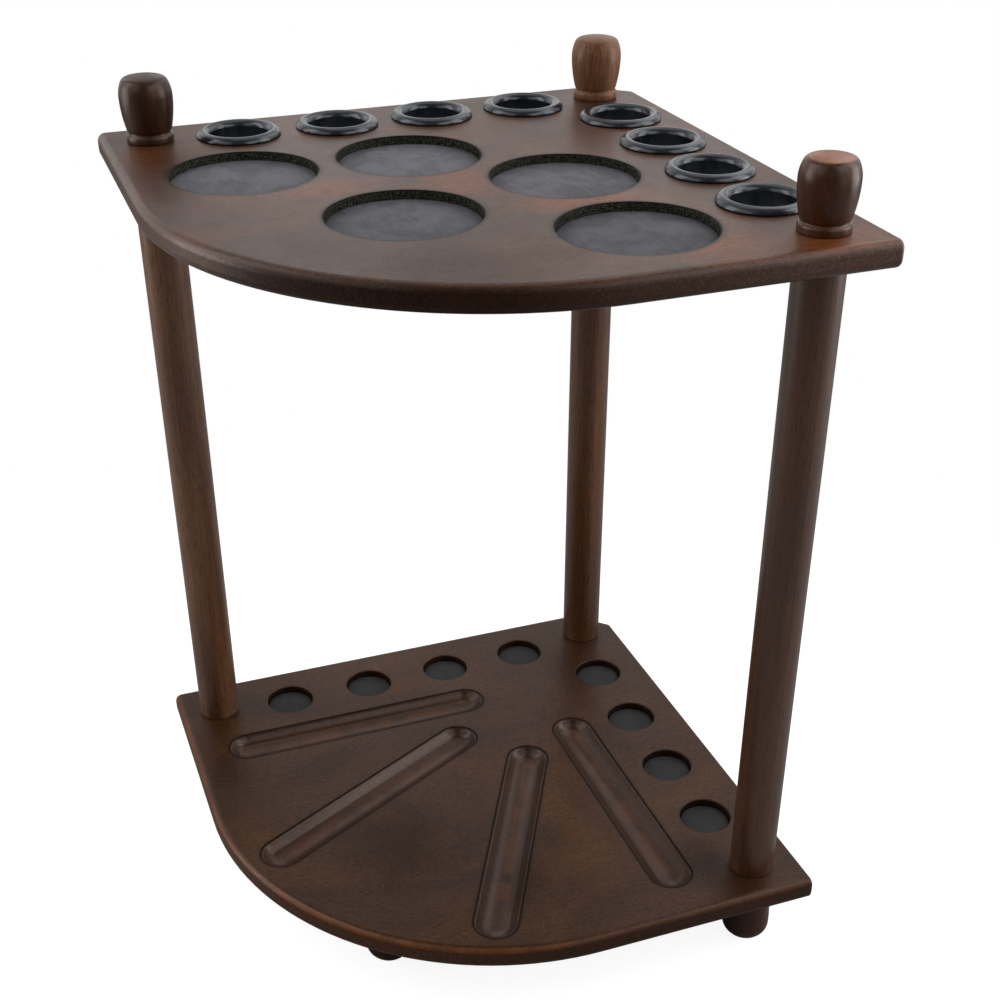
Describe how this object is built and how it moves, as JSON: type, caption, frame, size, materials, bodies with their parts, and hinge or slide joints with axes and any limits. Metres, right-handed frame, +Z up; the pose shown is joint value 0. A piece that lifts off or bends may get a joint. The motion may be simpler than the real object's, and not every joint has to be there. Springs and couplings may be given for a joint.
{
  "type": "corner cue rack",
  "caption": "Floor-standing corner rack for billiard cues: a bow-fronted grommeted top board over a padded, grooved base board on round posts with turned finials and feet.",
  "frame": {"origin": "on the floor, at the centre of the 420 mm square that both boards fill", "axes": "+Z up; the wall corner is at -X +Y, one wall lies along -X and the other along +Y, and the bowed front faces +X -Y"},
  "size_m": [0.42, 0.42, 0.6209],
  "materials": {
    "board_wood": "dark walnut stain under satin lacquer",
    "turned_wood": "dark walnut stain under semi-gloss lacquer",
    "grommet_rubber": "satin",
    "cup_pad_rubber": "soft sheen",
    "butt_pad_rubber": "matte",
    "zinc_steel": "zinc plated",
    "insert_brass": "machined"
  },
  "bodies": {
    "root": {"top_shelf": "board_wood", "bottom_shelf": "board_wood", "left_post": "turned_wood", "left_finial": "turned_wood", "left_foot": "turned_wood", "right_post": "turned_wood", "right_finial": "turned_wood", "right_foot": "turned_wood", "back_post": "turned_wood", "back_finial": "turned_wood", "back_foot": "turned_wood", "front_foot": "turned_wood", "grommet_left_1": "grommet_rubber", "butt_pad_left_1": "butt_pad_rubber", "grommet_right_1": "grommet_rubber", "butt_pad_right_1": "butt_pad_rubber", "grommet_left_2": "grommet_rubber", "butt_pad_left_2": "butt_pad_rubber", "grommet_right_2": "grommet_rubber", "butt_pad_right_2": "butt_pad_rubber", "grommet_left_3": "grommet_rubber", "butt_pad_left_3": "butt_pad_rubber", "grommet_right_3": "grommet_rubber", "butt_pad_right_3": "butt_pad_rubber", "grommet_left_4": "grommet_rubber", "butt_pad_left_4": "butt_pad_rubber", "grommet_right_4": "grommet_rubber", "butt_pad_right_4": "butt_pad_rubber", "cup_pad_left_front": "cup_pad_rubber", "cup_pad_left_rear": "cup_pad_rubber", "cup_pad_right_rear": "cup_pad_rubber", "cup_pad_right_front": "cup_pad_rubber", "cup_pad_middle": "cup_pad_rubber", "finial_hanger_bolts": "zinc_steel", "foot_hanger_bolts": "zinc_steel", "front_foot_hanger_bolt": "zinc_steel", "upper_post_inserts": "insert_brass", "lower_post_inserts": "insert_brass", "front_foot_insert": "insert_brass"}
  },
  "joints": []
}
